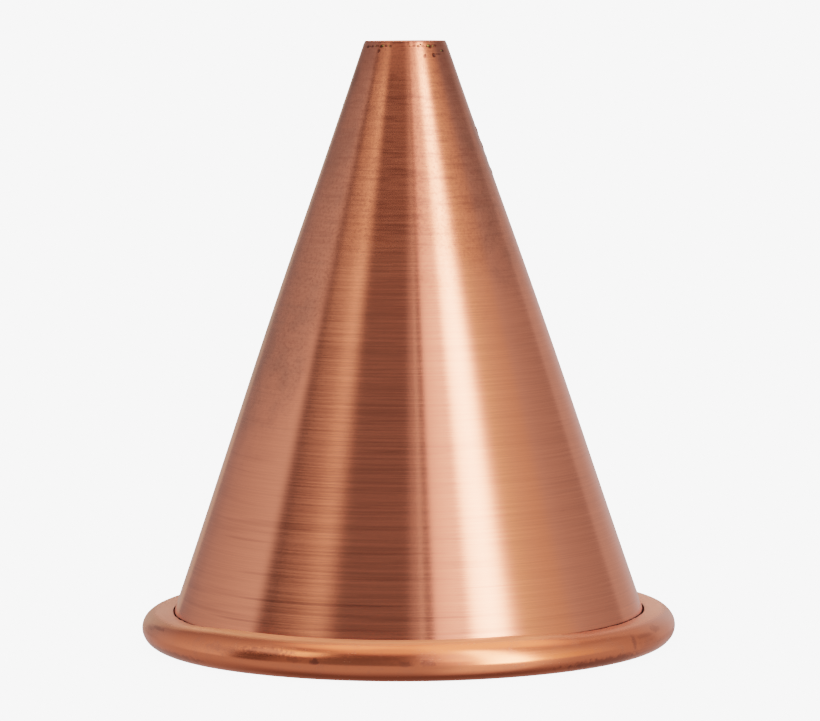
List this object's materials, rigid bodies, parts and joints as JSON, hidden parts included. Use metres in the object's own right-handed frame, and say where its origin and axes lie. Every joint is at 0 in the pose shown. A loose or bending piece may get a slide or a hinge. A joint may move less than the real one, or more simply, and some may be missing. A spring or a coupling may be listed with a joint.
{
  "type": "bar jigger",
  "caption": "Conical spun-copper spirit measure with a rolled, wired rim at its mouth and a small flat closed end, standing mouth down.",
  "frame": {"origin": "centre of the mouth, on the plane that the rolled rim stands on", "axes": "+Z along the cone's axis, from the mouth up to the small closed end; the part is the same in every direction round it"},
  "size_m": [0.057, 0.057, 0.064],
  "materials": {
    "copper_sheet": "spun copper with fine turning lines and light patina",
    "braze": "dull yellow brazing alloy, as it ran",
    "copper_wire": "drawn copper wire, dulled inside the roll"
  },
  "bodies": {
    "root": {"cone_body": "copper_sheet", "end_disc": "copper_sheet", "braze_fillet": "braze", "rim_wire": "copper_wire"}
  },
  "joints": []
}
